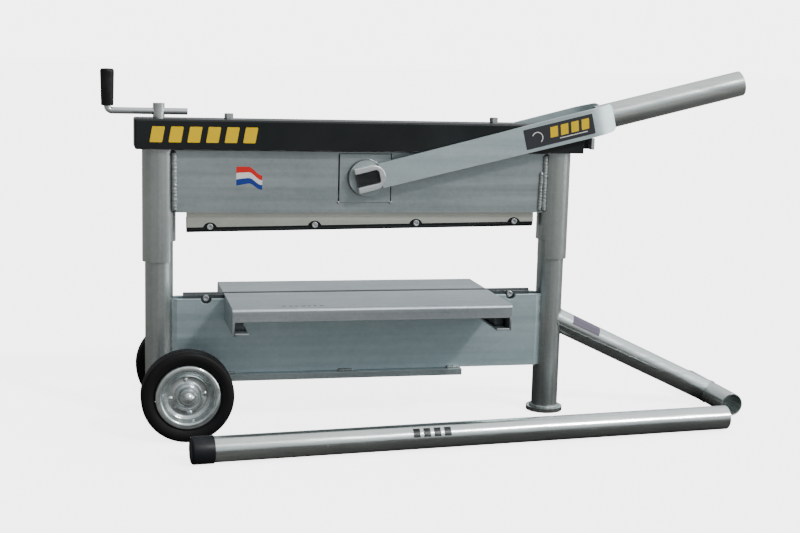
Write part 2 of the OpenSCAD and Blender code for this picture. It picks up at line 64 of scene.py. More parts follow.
# ---------------------------------------------------------------- materials
class Surface:
    """A procedural material: a Principled shader and short calls that feed it."""

    def __init__(self, name, metallic=0.0, coat=0.0, specular=0.5):
        self.material = bpy.data.materials.new(name)
        self.material.use_nodes = True
        self.tree = self.material.node_tree
        self.shader = self.tree.nodes["Principled BSDF"]
        self.shader.inputs["Metallic"].default_value = metallic
        self.shader.inputs["Coat Weight"].default_value = coat
        self.shader.inputs["Specular IOR Level"].default_value = specular
        self.place = self.tree.nodes.new("ShaderNodeTexCoord").outputs["Object"]

    def node(self, kind, **inputs):
        made = self.tree.nodes.new(kind)
        for name, value in inputs.items():
            self.feed(made.inputs[name.replace("_", " ")], value)
        return made

    def feed(self, socket, value):
        if isinstance(value, bpy.types.NodeSocket):
            self.tree.links.new(value, socket)
        else:
            socket.default_value = value

    def stretched(self, scale):
        """Object coordinates scaled per axis, so that a noise on them runs in streaks."""
        return self.node("ShaderNodeMapping", Vector=self.place, Scale=scale).outputs["Vector"]

    def noise(self, scale, detail=4.0, roughness=0.55, place=None):
        made = self.node("ShaderNodeTexNoise", Vector=place or self.place, Scale=scale, Detail=detail,
                         Roughness=roughness)
        return made.outputs["Fac"]

    def cells(self, scale):
        """One random grey per crystal cell."""
        voronoi = self.node("ShaderNodeTexVoronoi", Vector=self.place, Scale=scale)
        return self.node("ShaderNodeSeparateColor", Color=voronoi.outputs["Color"]).outputs["Red"]

    def band(self, value, low, high, out_low=0.0, out_high=1.0):
        made = self.node("ShaderNodeMapRange", Value=value)
        made.inputs["From Min"].default_value = low
        made.inputs["From Max"].default_value = high
        made.inputs["To Min"].default_value = out_low
        made.inputs["To Max"].default_value = out_high
        return made.outputs["Result"]

    def math(self, operation, a, b):
        made = self.tree.nodes.new("ShaderNodeMath")
        made.operation = operation
        self.feed(made.inputs[0], a)
        self.feed(made.inputs[1], b)
        return made.outputs["Value"]

    def mix(self, factor, a, b):
        made = self.tree.nodes.new("ShaderNodeMix")
        made.data_type = "RGBA"
        self.feed(made.inputs["Factor"], factor)
        self.feed(made.inputs["A"], a)
        self.feed(made.inputs["B"], b)
        return made.outputs["Result"]

    def edges(self, radius):
        """1 on the outer edges of a shape, fading to 0 at radius."""
        bevel = self.node("ShaderNodeBevel", Radius=radius)
        bevel.samples = 4
        normal = self.tree.nodes.new("ShaderNodeNewGeometry").outputs["Normal"]
        dot = self.tree.nodes.new("ShaderNodeVectorMath")
        dot.operation = "DOT_PRODUCT"
        self.feed(dot.inputs[0], bevel.outputs["Normal"])
        self.feed(dot.inputs[1], normal)
        return self.band(dot.outputs["Value"], 0.995, 0.86)

    def bump(self, height, distance, strength, onto=None):
        made = self.node("ShaderNodeBump", Height=height, Distance=distance, Strength=strength)
        if onto is not None:
            self.feed(made.inputs["Normal"], onto)
        return made.outputs["Normal"]

    def finish(self, colour, roughness, normal=None):
        self.feed(self.shader.inputs["Base Color"], colour)
        self.feed(self.shader.inputs["Roughness"], roughness)
        if normal is not None:
            self.feed(self.shader.inputs["Normal"], normal)
        return self.material


def rgb(r, g, b):
    return (r, g, b, 1.0)


def zinc(name, dark, light, rough, streaks, spangle=0.35, metallic=0.85):
    """Zinc-coated steel: cloudy patches, faint crystals, and streaks along one axis."""
    s = Surface(name, metallic=metallic)
    cloud = s.noise(5.0, 5.0, 0.6)
    streak = s.noise(1.0, 5.0, 0.6, place=s.stretched(streaks))
    grain = s.noise(420.0, 3.0)
    crystal = s.cells(170.0)
    tone = s.math("ADD", s.math("MULTIPLY", cloud, 0.5), s.math("MULTIPLY", streak, 0.5))
    tone = s.math("ADD", tone, s.math("MULTIPLY", s.math("SUBTRACT", crystal, 0.5), 0.22 * spangle))
    colour = s.mix(s.band(tone, 0.32, 0.68), dark, light)
    # Edges lightened towards pale zinc: a painted highlight along every edge.
    colour = s.mix(s.math("MULTIPLY", s.edges(0.0012), 0.55), colour, rgb(0.80, 0.83, 0.83))
    matt = s.math("ADD", streak, s.math("MULTIPLY", grain, 0.3))
    roughness = s.band(matt, 0.3, 1.0, rough - 0.07, rough + 0.10)
    normal = s.bump(grain, 0.0002, 0.35)
    normal = s.bump(streak, 0.0006, 0.25, onto=normal)
    return s.finish(colour, roughness, normal)


def paint(name, colour, worn, rough=0.34):
    """Powder coat: orange peel, dusty patches, edges rubbed lighter."""
    s = Surface(name, coat=0.12, specular=0.28)
    s.shader.inputs["Coat Roughness"].default_value = 0.2
    peel = s.noise(650.0, 2.0)
    dust = s.noise(9.0, 6.0, 0.65)
    rub = s.math("MULTIPLY", s.edges(0.0014), s.band(s.noise(60.0, 4.0), 0.45, 0.62))
    shade = s.mix(s.band(dust, 0.45, 0.8, 0.0, 0.45), colour, worn)
    shade = s.mix(rub, shade, rgb(0.30, 0.31, 0.32))
    roughness = s.band(dust, 0.3, 0.8, rough - 0.06, rough + 0.16)
    return s.finish(shade, roughness, s.bump(peel, 0.0002, 0.25))


def rubber(name, colour, dusty, rough=0.62):
    """Matt rubber or plastic: fine grain, dust, edges scuffed towards the dust's tone."""
    s = Surface(name, specular=0.2)
    grain = s.noise(900.0, 2.0)
    dust = s.noise(24.0, 6.0, 0.7)
    scuff = s.math("MULTIPLY", s.edges(0.002), s.band(s.noise(90.0, 3.0), 0.4, 0.65))
    shade = s.mix(s.band(dust, 0.5, 0.85, 0.0, 0.5), colour, dusty)
    shade = s.mix(s.math("MULTIPLY", scuff, 0.5), shade, dusty)
    roughness = s.band(dust, 0.3, 0.8, rough - 0.08, rough + 0.12)
    return s.finish(shade, roughness, s.bump(grain, 0.00025, 0.4))


def sticker(name, colour, rough=0.38):
    """Printed vinyl with a faint fade and a fine grain."""
    s = Surface(name, specular=0.2)
    fade = s.noise(35.0, 4.0)
    grain = s.noise(1200.0, 2.0)
    faded = tuple(c * 0.80 for c in colour[:3]) + (1.0,)
    shade = s.mix(s.band(fade, 0.45, 0.8, 0.0, 0.5), colour, faded)
    roughness = s.band(fade, 0.3, 0.8, rough - 0.05, rough + 0.12)
    return s.finish(shade, roughness, s.bump(grain, 0.0001, 0.2))


# Scales of the streaks: low along the drawn direction, high across it
ALONG_X = (1.5, 160.0, 160.0)
ALONG_Y = (160.0, 1.5, 160.0)
ALONG_Z = (160.0, 160.0, 1.5)
PLATE = zinc("zinc_plate", rgb(0.27, 0.32, 0.335), rgb(0.42, 0.475, 0.485), 0.40, (2.0, 30.0, 70.0))
TABLE = zinc("zinc_table", rgb(0.29, 0.33, 0.36), rgb(0.49, 0.535, 0.555), 0.36, (2.0, 90.0, 90.0))
SLEEVE = zinc("zinc_sleeve", rgb(0.30, 0.335, 0.33), rgb(0.45, 0.49, 0.485), 0.30, ALONG_Z)
TUBE_DARK = rgb(0.48, 0.52, 0.51)
TUBE_LIGHT = rgb(0.66, 0.71, 0.70)
TUBE = zinc("zinc_tube", TUBE_DARK, TUBE_LIGHT, 0.20, ALONG_X, spangle=0.2, metallic=0.95)
CROSS = zinc("zinc_cross_tube", TUBE_DARK, TUBE_LIGHT, 0.22, ALONG_Y, spangle=0.2)
ARM = zinc("zinc_arm", rgb(0.42, 0.51, 0.535), rgb(0.56, 0.66, 0.68), 0.38, (3.0, 60.0, 60.0))
LOWER = zinc("zinc_lower_plate", rgb(0.40, 0.51, 0.55), rgb(0.54, 0.66, 0.70), 0.40, (2.0, 30.0, 70.0))
HOLDER = zinc("zinc_holder", rgb(0.50, 0.52, 0.47), rgb(0.66, 0.68, 0.62), 0.42, (2.0, 60.0, 60.0))
BRIGHT = zinc("bright_steel", rgb(0.46, 0.49, 0.50), rgb(0.66, 0.69, 0.70), 0.26, ALONG_X, spangle=0.1)
JAW = zinc("jaw_steel", rgb(0.62, 0.66, 0.68), rgb(0.80, 0.84, 0.85), 0.30, ALONG_X, spangle=0.1)
RIM = zinc("zinc_rim", rgb(0.40, 0.44, 0.45), rgb(0.70, 0.75, 0.75), 0.18, (60.0, 6.0, 60.0),
           spangle=0.15)
WELD = zinc("zinc_weld", rgb(0.13, 0.15, 0.15), rgb(0.46, 0.50, 0.50), 0.45, (220.0, 220.0, 220.0),
            metallic=0.75)
# Dark steel; on the support arms it is painted shade for the dark inside of the tables' C-shaped arms.
DARK_STEEL_AND_SHADE = zinc("dark_steel", rgb(0.05, 0.058, 0.062), rgb(0.13, 0.145, 0.15), 0.36, ALONG_X, spangle=0.1)
# Near-black blade steel; on the drive tongues, the valve holes and the rings round the shaft it is painted shade.
BLADE_STEEL_AND_SHADE = zinc("blade_steel_and_painted_shade", rgb(0.012, 0.014, 0.015), rgb(0.05, 0.055, 0.058), 0.34, ALONG_X,
             spangle=0.0)
BRONZE = zinc("bronze", rgb(0.32, 0.24, 0.12), rgb(0.52, 0.42, 0.24), 0.36, ALONG_Z, spangle=0.0)
BLACK = paint("black_paint", rgb(0.005, 0.007, 0.008), rgb(0.014, 0.017, 0.019))
TYRE = rubber("tyre_rubber", rgb(0.0035, 0.0035, 0.004), rgb(0.011, 0.011, 0.012))
CAP = rubber("cap_rubber", rgb(0.009, 0.010, 0.013), rgb(0.03, 0.03, 0.036), 0.44)
PLASTIC = rubber("grip_plastic", rgb(0.008, 0.008, 0.009), rgb(0.035, 0.035, 0.038), 0.36)
YELLOW = sticker("yellow_vinyl", rgb(0.76, 0.50, 0.0))
CHARCOAL = sticker("charcoal_vinyl", rgb(0.035, 0.037, 0.043))
WHITE = sticker("white_vinyl", rgb(0.72, 0.72, 0.70))
RED = sticker("red_vinyl", rgb(0.60, 0.022, 0.018))
BLUE = sticker("blue_vinyl", rgb(0.015, 0.04, 0.24))
LABEL_GREY = sticker("grey_vinyl", rgb(0.12, 0.11, 0.15))

NODE_MATERIALS = {
    "left_post": SLEEVE, "right_post": SLEEVE, "left_sleeve": SLEEVE, "right_sleeve": SLEEVE,
    "foot_disc": TUBE, "lower_front_plate": LOWER, "lower_rear_plate": LOWER, "base_bar": PLATE,
    # The support arms are dark as painted shade inside the tables' C-shaped arms.
    "upper_front_plate": PLATE, "upper_rear_plate": PLATE, "top_plate": PLATE, "support_arms": DARK_STEEL_AND_SHADE,
    "front_bearing": PLATE, "rear_bearing": PLATE, "axle_tube": PLATE, "lever_rest": BRIGHT,
    "front_table": TABLE, "rear_table": TABLE, "strut": TUBE, "cross_tube": CROSS,
    "socket_tube": TUBE, "extension_tube": TUBE, "front_arm": ARM, "rear_arm": ARM, "fork_jaws": BRIGHT,
    # The drive tongues are near-black as painted shade for the dark slot inside the jaws.
    "eccentric_shaft": PLATE, "drive_tongues": BLADE_STEEL_AND_SHADE, "blade_holder": HOLDER,
    "upper_blade": BLADE_STEEL_AND_SHADE, "lower_blade": DARK_STEEL_AND_SHADE, "drive_chain": DARK_STEEL_AND_SHADE,
    "left_sprocket": DARK_STEEL_AND_SHADE, "right_sprocket": DARK_STEEL_AND_SHADE,
    "front_springs": DARK_STEEL_AND_SHADE, "rear_springs": DARK_STEEL_AND_SHADE, "return_springs": DARK_STEEL_AND_SHADE,
    "crank_rod": BRIGHT, "crank_boss": BRIGHT, "axle_rod": BRIGHT, "axle_caps": RIM,
    "cover_screws": BRIGHT, "lower_blade_bolts": BRIGHT, "upper_blade_bolts": BRIGHT,
    "left_spindle": BRIGHT, "right_spindle": BRIGHT,
    "front_rim": RIM, "rear_rim": RIM, "front_hub": RIM, "rear_hub": RIM,
    "front_rivets": RIM, "rear_rivets": RIM, "spindle_nuts": BRONZE, "spindle_bearings": BRONZE,
    "chain_tray": BLACK, "chain_cover": BLACK, "front_tyre": TYRE, "rear_tyre": TYRE,
    "extension_cap": CAP, "crank_grip": PLASTIC,
}
PLAIN_EDGE = 0.6 * MM
EDGE_WIDTHS = {"base_bar": 0.8 * MM}


def soften(piece, width, angle=32, segments=2):
    """Rounds the sharp edges a little, so that they catch the light."""
    weld = piece.modifiers.new("weld", "WELD")
    weld.merge_threshold = 2 * TINY
    bevel = piece.modifiers.new("bevel", "BEVEL")
    bevel.width = width
    bevel.segments = segments
    bevel.limit_method = "ANGLE"
    bevel.angle_limit = math.radians(angle)
    piece.modifiers.new("weighted", "WEIGHTED_NORMAL")


for node_name, node in frame["nodes"].items():
    node.data.materials.clear()
    node.data.materials.append(NODE_MATERIALS[node_name])
    soften(node, EDGE_WIDTHS.get(node_name, PLAIN_EDGE))


# ---------------------------------------------------------------- mesh helpers
def piece_from(name, bm, material, body, smooth=True):
    bmesh.ops.remove_doubles(bm, verts=bm.verts, dist=1e-7)
    bmesh.ops.recalc_face_normals(bm, faces=bm.faces)
    mesh = bpy.data.meshes.new(name)
    bm.to_mesh(mesh)
    bm.free()
    for polygon in mesh.polygons:
        polygon.use_smooth = smooth
    mesh.materials.append(material)
    made = bpy.data.objects.new(name, mesh)
    bpy.context.scene.collection.objects.link(made)
    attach(made, body)
    return made


def full_turn(steps):
    """Evenly spaced angles round a full turn."""
    return [math.tau * k / steps for k in range(steps)]


def sweep_rings(bm, rings, closed=False):
    """Skins a list of rings, each a list of points, into a closed or a capped tube."""
    rows = [[bm.verts.new(p) for p in ring] for ring in rings]
    count = len(rows[0])
    last = len(rows) if closed else len(rows) - 1
    for i in range(last):
        a = rows[i]
        b = rows[(i + 1) % len(rows)]
        for j in range(count):
            bm.faces.new((a[j], a[(j + 1) % count], b[(j + 1) % count], b[j]))
    if not closed:
        bm.faces.new(rows[0][::-1])
        bm.faces.new(rows[-1])


def across(tangent):
    """Two directions square to a tangent."""
    helper = UP if abs(tangent.dot(UP)) < 0.9 else Vector((0, 1, 0))
    side = tangent.cross(helper).normalized()
    return side, side.cross(tangent).normalized()


def resample(points, step, closed):
    """The same path in steps of nearly one length."""
    loop = points + [points[0]] if closed else points
    out = []
    for a, b in zip(loop, loop[1:]):
        count = max(1, round((b - a).length / step))
        out += [a.lerp(b, i / count) for i in range(count)]
    return out if closed else out + [loop[-1]]


def weld_bead(name, points, radius, body, closed=False):
    """A laid weld: overlapping ripples of uneven width along a path."""
    path = resample([Vector(p) for p in points], radius * 0.38, closed)
    count = len(path)
    rings = []
    for i, here in enumerate(path):
        before = path[i - 1] if closed or i else here
        after = path[(i + 1) % count] if closed or i < count - 1 else here
        side, up = across((after - before).normalized())
        ripple = 0.86 + 0.16 * abs(math.sin(i * 0.95)) + random.uniform(-0.07, 0.07)
        taper = 1.0 if closed else min(1.0, 0.45 + 0.3 * min(i, count - 1 - i))
        size = radius * ripple * taper
        shift = side * random.uniform(-0.1, 0.1) * radius
        rings.append([here + shift + side * math.cos(a) * size + up * math.sin(a) * size
                      for a in full_turn(10)])
    bm = bmesh.new()
    sweep_rings(bm, rings, closed=closed)
    return piece_from(name, bm, WELD, body)


def lathe(bm, profile, origin, axis, segments):
    """Turns a closed profile of (radius, distance along axis) round an axis."""
    side, up = across(axis)
    rings = []
    for angle in full_turn(segments):
        out = side * math.cos(angle) + up * math.sin(angle)
        rings.append([origin + out * r + axis * d for r, d in profile])
    sweep_rings(bm, rings, closed=True)


def rounded_outline(points, radius, steps=6):
    """Rounds each corner of a closed outline of 2-D points with an arc."""
    out = []
    count = len(points)
    for i in range(count):
        here = Vector(points[i])
        a = (Vector(points[i - 1]) - here).normalized()
        b = (Vector(points[(i + 1) % count]) - here).normalized()
        half = math.acos(max(-1.0, min(1.0, a.dot(b)))) / 2
        reach = radius / math.tan(half)
        centre = here + (a + b).normalized() * (radius / math.sin(half))
        start = here + a * reach - centre
        end = here + b * reach - centre
        turn = math.atan2(start.x * end.y - start.y * end.x, start.dot(end))
        for k in range(steps + 1):
            angle = turn * k / steps
            out.append(centre + Vector((start.x * math.cos(angle) - start.y * math.sin(angle),
                                        start.x * math.sin(angle) + start.y * math.cos(angle))))
    return out


def arc_points(cx, cy, r, start, end, steps):
    """Points on an arc, in degrees, counted anticlockwise."""
    out = []
    for k in range(steps + 1):
        a = math.radians(start + (end - start) * k / steps)
        out.append((cx + r * math.cos(a), cy + r * math.sin(a)))
    return out


def slab(bm, outline, place, low, high):
    """A flat plate: outline in the place's X and Y, from low to high along its Z."""
    rings = [[place @ Vector((p.x, p.y, z)) for p in outline] for z in (low, high)]
    sweep_rings(bm, rings)


def rectangle(x0, x1, y0, y1):
    return [Vector((x0, y0)), Vector((x1, y0)), Vector((x1, y1)), Vector((x0, y1))]


def sticker_piece(name, outline, place, thickness, material, body):
    bm = bmesh.new()
    slab(bm, outline, place, 0.0, thickness)
    return piece_from(name, bm, material, body, smooth=False)


# ---------------------------------------------------------------- places taken from the frame
def corners(node):
    low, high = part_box(node)
    return Vector(low), Vector(high)


def centre(node):
    low, high = corners(node)
    return (low + high) / 2


LEFT = centre("left_post")
RIGHT = centre("right_post")
MID_X = JOINTS["lever_swing"]["pos_m"][0]
HUB = Vector(JOINTS["lever_swing"]["pos_m"])
LEVER_AXIS = MOUNTS["lever_socket"]["axis"]
LEVER = Matrix.Translation(HUB) @ Matrix.Rotation(-math.atan2(LEVER_AXIS[2], LEVER_AXIS[0]), 4, "Y")
FACING_FRONT = Matrix.Rotation(math.pi / 2, 4, "X")
# Outer radii of the posts, the plain tubes and the lever's socket
POST_R = 25.4 * MM
TUBE_R = 22.25 * MM
SOCKET_R = 24.5 * MM
# The lever's arms: how thick, and how far their outer faces are from the middle
ARM_THICK = 8 * MM
ARM_FACE = 51 * MM
# Radius of the lever's shaft where it leaves the bearings
JOURNAL_R = 33 * MM
# Height at which the strut's axis meets the right post's
STRUT_TOP = 188.7 * MM
SIDES = (("front", -1), ("rear", 1))
POSTS = (("left", LEFT.x, 1), ("right", RIGHT.x, -1))


def on_front(x, y, z):
    """A flat place that faces the front, its own X to the right and Y up."""
    return Matrix.Translation((x, y, z)) @ FACING_FRONT


# ---------------------------------------------------------------- welds
def sleeve_welds():
    """The head's plates to both sleeves, and a second short run on the right."""
    low, high = corners("upper_front_plate")
    z0 = low.z + 2 * MM
    z1 = high.z - 2 * MM
    face = -low.y + 0.4 * MM
    foot_x, head_x = 26.4 * MM, 26.2 * MM
    for post, x, inward in POSTS:
        for side, s in SIDES:
            ends = [(x + inward * foot_x, s * face, z0), (x + inward * head_x, s * face, z1)]
            weld_bead(f"{post}_sleeve_weld_{side}", ends, 5.0 * MM, "head")
    second_x = RIGHT.x - 35 * MM
    second_length = 76 * MM
    for side, s in SIDES:
        ends = [(second_x, s * face, z0), (second_x + 2 * MM, s * face, z0 + second_length)]
        weld_bead(f"second_sleeve_weld_{side}", ends, 4.2 * MM, "head")


def post_welds():
    """The lower plates to both posts, and the right post to its foot."""
    low, high = corners("lower_front_plate")
    edge_x, edge_y = 22.6 * MM, 14.2 * MM
    for post, x, inward in POSTS:
        for side, s in SIDES:
            edge = x + inward * edge_x
            ends = [(edge, s * edge_y, low.z + 2 * MM), (edge, s * edge_y, high.z - 3 * MM)]
            weld_bead(f"{post}_post_weld_{side}", ends, 1.8 * MM, "base")
    foot_z = corners("foot_disc")[1].z + 1 * MM
    ring_r = POST_R + 1 * MM
    ring = [(RIGHT.x + ring_r * math.cos(a), ring_r * math.sin(a), foot_z) for a in full_turn(48)]
    weld_bead("foot_weld", ring, 3.0 * MM, "base", closed=True)


def strut_welds():
    """The strut's joints with the post and with the cross tube, each along its saddle."""
    cross = centre("cross_tube")
    start = Vector((RIGHT.x, 0, STRUT_TOP))
    along = cross - start
    length = along.length
    along.normalize()
    upward = Vector((-along.z, 0, along.x))
    top_ring = []
    low_ring = []
    for a in full_turn(56):
        offset = upward * math.cos(a) * TUBE_R + Vector((0, math.sin(a) * TUBE_R, 0))
        reach = (math.sqrt(POST_R ** 2 - offset.y ** 2) - offset.x) / along.x
        top_ring.append(start + offset + along * reach)
        low_ring.append(start + offset + along * (length - TUBE_R * abs(math.sin(a))))
    weld_bead("strut_weld_post", top_ring, 1.6 * MM, "base", closed=True)
    weld_bead("strut_weld_cross", low_ring, 1.6 * MM, "base", closed=True)


def base_bar_welds():
    """Short runs along the bar's upper edges, as distances from the middle."""
    z = corners("base_bar")[1].z + 0.8 * MM
    face = -corners("lower_front_plate")[0].y + 0.8 * MM
    for side, s in SIDES:
        for count, (x0, x1) in enumerate(((-45, -15), (165, 193), (-262, -236))):
            ends = [(MID_X + x0 * MM, s * face, z), (MID_X + x1 * MM, s * face, z)]
            weld_bead(f"base_bar_weld_{side}_{count}", ends, 3.2 * MM, "base")


def axle_welds():
    """Two runs across the top of the axle tube, on each side of the post."""
    axle = centre("axle_tube")
    top = 92.4 * MM
    for side, s in SIDES:
        for count, dx in enumerate((-8, 8)):
            x = axle.x + dx * MM
            ends = [(x, s * 13 * MM, top), (x, s * 22 * MM, top)]
            weld_bead(f"axle_weld_{side}_{count}", ends, 2.6 * MM, "base")


def bearing_tacks():
    """A tack at each lower corner of the shaft's bearings."""
    low, high = corners("front_bearing")
    face = 22.6 * MM
    z = low.z - 0.5 * MM
    half_tack = 2.5 * MM
    for side, s in SIDES:
        for count, x in enumerate((low.x - 1.5 * MM, high.x + 1.5 * MM)):
            ends = [(x - half_tack, s * face, z), (x + half_tack, s * face, z)]
            weld_bead(f"bearing_tack_{side}_{count}", ends, 2.4 * MM, "head")


def socket_welds():
    """The lever's arms to the socket tube, each along the tube's round."""
    arm_end = 494.5 * MM
    steps = 12
    for side, s in SIDES:
        points = []
        for k in range(steps + 1):
            z = (-19 + 38 * k / steps) * MM
            out = math.sqrt(SOCKET_R ** 2 - z ** 2) + 1.2 * MM
            points.append(LEVER @ Vector((arm_end, s * out, z)))
        weld_bead(f"socket_weld_{side}", points, 2.8 * MM, "lever")


# ---------------------------------------------------------------- rolled cover, tables and fork arms
def cut_out(piece, cutter):
    """Takes one closed mesh out of a piece, for good."""
    mesh = bpy.data.meshes.new("cutter")
    cutter.to_mesh(mesh)
    cutter.free()
    tool = bpy.data.objects.new("cutter", mesh)
    bpy.context.scene.collection.objects.link(tool)
    modifier = piece.modifiers.new("cut", "BOOLEAN")
    modifier.object = tool
    modifier.operation = "DIFFERENCE"
    modifier.solver = "EXACT"
    bpy.context.view_layer.update()
    cut = bpy.data.meshes.new_from_object(piece.evaluated_get(bpy.context.evaluated_depsgraph_get()))
    piece.modifiers.clear()
    piece.data = cut
    bpy.data.objects.remove(tool)


def block(bm, low, high):
    made = bmesh.ops.create_cube(bm, size=1.0)["verts"]
    size = high - low
    for vert in made:
        vert.co = low + Vector((c + 0.5) * size[i] for i, c in enumerate(vert.co))
    return made


def rolled_cover():
    """The chain cover as folded sheet: rolled long edges, a rolled left end, open to the right."""
    low, high = corners("chain_cover")
    sheet = 2.5 * MM
    past = 10 * MM
    bm = bmesh.new()
    block(bm, low, high)
    edges = []
    for edge in bm.edges:
        a, b = (v.co for v in edge.verts)
        top = min(a.z, b.z) > high.z - TINY
        left = max(a.x, b.x) < low.x + TINY
        lengthwise = abs(a.x - b.x) > TINY
        if (top and lengthwise) or left:
            edges.append(edge)
    bmesh.ops.bevel(bm, geom=edges, offset=4.0 * MM, segments=6, profile=0.5, affect="EDGES")
    cover = piece_from("cover_shell", bm, BLACK, "head", smooth=False)
    inside = bmesh.new()
    block(inside, low + Vector((sheet, sheet, -past)), high + Vector((past, -sheet, -sheet)))
    cut_out(cover, inside)
    screw_x, screw_hole, crank_hole = 250 * MM, 4.2 * MM, 12 * MM
    for x, radius in ((LEFT.x, crank_hole), (MID_X - screw_x, screw_hole), (MID_X + screw_x, screw_hole)):
        hole = bmesh.new()
        place = Matrix.Translation((x, 0, high.z))
        bmesh.ops.create_cone(hole, cap_ends=True, segments=48, radius1=radius, radius2=radius,
                              depth=30 * MM, matrix=place)
        cut_out(cover, hole)
    for polygon in cover.data.polygons:
        polygon.use_smooth = True
    soften(cover, 0.5 * MM, angle=40)
    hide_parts("chain_cover")


def bent_table(name, node, body, s):
    """Sheet table: its outer edge folded down round a bend, with a C-shaped arm at each end."""
    low, high = corners(node)
    outer = -low.y if s < 0 else high.y
    inner = -high.y if s < 0 else low.y
    thick = 4 * MM
    bend = 6.5 * MM
    lip = 24 * MM
    top = high.z
    arc = [k * math.pi / 12 for k in range(7)]
    round_y, round_z = outer - bend, top - bend
    profile = [(inner, top)]
    profile += [(round_y + bend * math.sin(a), round_z + bend * math.cos(a)) for a in arc]
    profile += [(outer, top - lip), (outer - thick, top - lip)]
    inside = bend - thick
    profile += [(round_y + inside * math.cos(a), round_z + inside * math.sin(a)) for a in arc]
    profile += [(inner, top - thick)]
    bm = bmesh.new()
    sweep_rings(bm, [[Vector((x, s * y, z)) for y, z in profile] for x in (low.x, high.x)])
    gap = 0.1 * MM
    start = 22 * MM
    web = [(start, top - thick - gap), (start, low.z), (outer, low.z), (outer, top - lip - gap),
           (outer - thick - gap, top - lip - gap), (outer - thick - gap, top - thick - gap)]
    for x0, x1 in ((low.x, low.x + thick), (high.x - thick, high.x)):
        sweep_rings(bm, [[Vector((x, s * y, z)) for y, z in web] for x in (x0, x1)])
    flange = 28 * MM
    for x0, x1 in ((low.x + thick, low.x + flange), (high.x - flange, high.x - thick)):
        y0, y1 = sorted((s * start, s * outer))
        block(bm, Vector((x0, y0, low.z)), Vector((x1, y1, low.z + thick)))
    table = piece_from(name, bm, TABLE, body)
    soften(table, PLAIN_EDGE, angle=34)
    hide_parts(node)


def bent_arm(name, node, s):
    """Flat bar of the fork, rolled in to the socket tube, its end corners round."""
    half_t = ARM_THICK / 2
    corner = 10 * MM
    start, bend, end = 24 * MM, 442 * MM, 492 * MM
    straight_y, end_y = ARM_FACE - half_t, 28.5 * MM
    jaw_half_h, flare, flare_end = 22.5 * MM, 4 * MM, 454 * MM
    stations = [start + (bend - start) * k / 8 for k in range(8)]
    stations += [bend + (end - corner - bend) * k / 14 for k in range(14)]
    stations += [end - corner + corner * math.sin(k * math.pi / 20) for k in range(11)]
    rings = []
    for x in stations:
        share = max(0.0, (x - bend) / (end - bend)) * math.pi / 2
        y = straight_y + (end_y - straight_y) * (1 - math.cos(share))
        slope = (end_y - straight_y) * math.sin(share) * math.pi / 2 / (end - bend)
        normal = Vector((-slope, 1)).normalized() * half_t
        half_h = jaw_half_h + flare * min(1.0, x / flare_end)
        left = max(0.0, x - (end - corner))
        half_h -= corner - math.sqrt(max(0.0, corner ** 2 - left ** 2))
        rings.append([LEVER @ Vector((x + side * normal.x, s * (y + side * normal.y), z))
                      for side, z in ((-1, -half_h), (-1, half_h), (1, half_h), (1, -half_h))])
    bm = bmesh.new()
    sweep_rings(bm, rings)
    arm = piece_from(name, bm, ARM, "lever")
    soften(arm, 0.9 * MM, angle=50)
    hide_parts(node)


def bright_jaws():
    """The jaws as forged C-shaped brackets round the shaft's tongues, on a low disc."""
    low, high = corners("fork_jaws")
    inner_face, outer_face = 36.1 * MM, high.y
    half_slot = 12.5 * MM
    half_jaw = 23 * MM
    slot_end = 22 * MM
    corner = 6 * MM
    bm = bmesh.new()
    for s in (-1, 1):
        nose = arc_points(JOURNAL_R - half_jaw, 0, half_jaw, -90, 90, 16)
        throat = arc_points(slot_end - corner, half_slot - corner, corner, 90, 0, 5)
        throat += arc_points(slot_end - corner, corner - half_slot, corner, 0, -90, 5)
        outline = [(-slot_end, -half_jaw)] + nose + [(-slot_end, half_jaw), (-slot_end, half_slot)]
        outline = [Vector(v) for v in outline + throat + [(-slot_end, -half_slot)]]
        rings = [[LEVER @ Vector((p.x, s * y, p.y)) for p in outline] for y in (inner_face, outer_face)]
        sweep_rings(bm, rings)
    jaws = piece_from("fork_jaw_brackets", bm, JAW, "lever", smooth=False)
    soften(jaws, 1.6 * MM, angle=40, segments=3)
    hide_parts("fork_jaws")


# ---------------------------------------------------------------- turned parts
def turned(name, profile, origin, axis, material, body, segments, node=None):
    """A turned piece from a profile in millimetres, which may replace a node."""
    bm = bmesh.new()
    lathe(bm, [(r * MM, d * MM) for r, d in profile], origin, axis, segments)
    made = piece_from(name, bm, material, body)
    if node:
        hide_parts(node)
    return made


def tyre_profile():
    """The tyre's outline, one half mirrored: bead, sidewall with raised rings, shoulder, ribbed tread."""
    low, high = corners("front_tyre")
    tread = (high.z - low.z) / 2 / MM
    half = [(57.3, 0.0), (57.3, 13.4), (58.6, 15.6), (60.5, 17.2), (63.3, 18.3), (66.5, 19.3),
            (69.5, 19.8), (72.0, 19.9), (73.1, 19.7)]
    half += arc_points(74.0, 12.2, 7.5, 80, 12, 7)
    rib = 7.2
    groove = tread - 2.4
    half += [(tread, rib + 1.2), (tread - 0.1, rib), (groove, rib - 0.3), (groove, rib - 1.9),
             (tread - 0.1, rib - 2.2), (tread, 0.0)]
    return half + [(r, -d) for r, d in reversed(half[1:-1])]


def rim_profile():
    """One pressed half of the rim: hub ring, steps, dish, wall and rolled lip."""
    front = [(15.2, 6.6), (17.6, 6.8), (18.6, 6.2), (19.4, 5.0), (21.2, 4.5), (22.6, 4.9), (23.6, 5.5),
             (24.8, 5.5), (25.8, 4.8), (26.8, 4.4), (35.2, 4.4), (36.8, 4.9), (38.2, 6.0), (39.4, 6.3),
             (40.6, 6.6), (42.2, 8.4), (43.6, 11.5), (44.6, 15.6), (45.6, 17.9), (47.4, 19.5), (50.0, 20.0),
             (53.8, 20.0), (56.0, 19.2), (57.2, 17.3), (57.0, 15.6)]
    back = [(54.0, 16.4), (48.4, 16.6), (46.8, 15.0), (45.0, 7.4), (38.0, 2.6), (15.2, 2.6)]
    return front + back


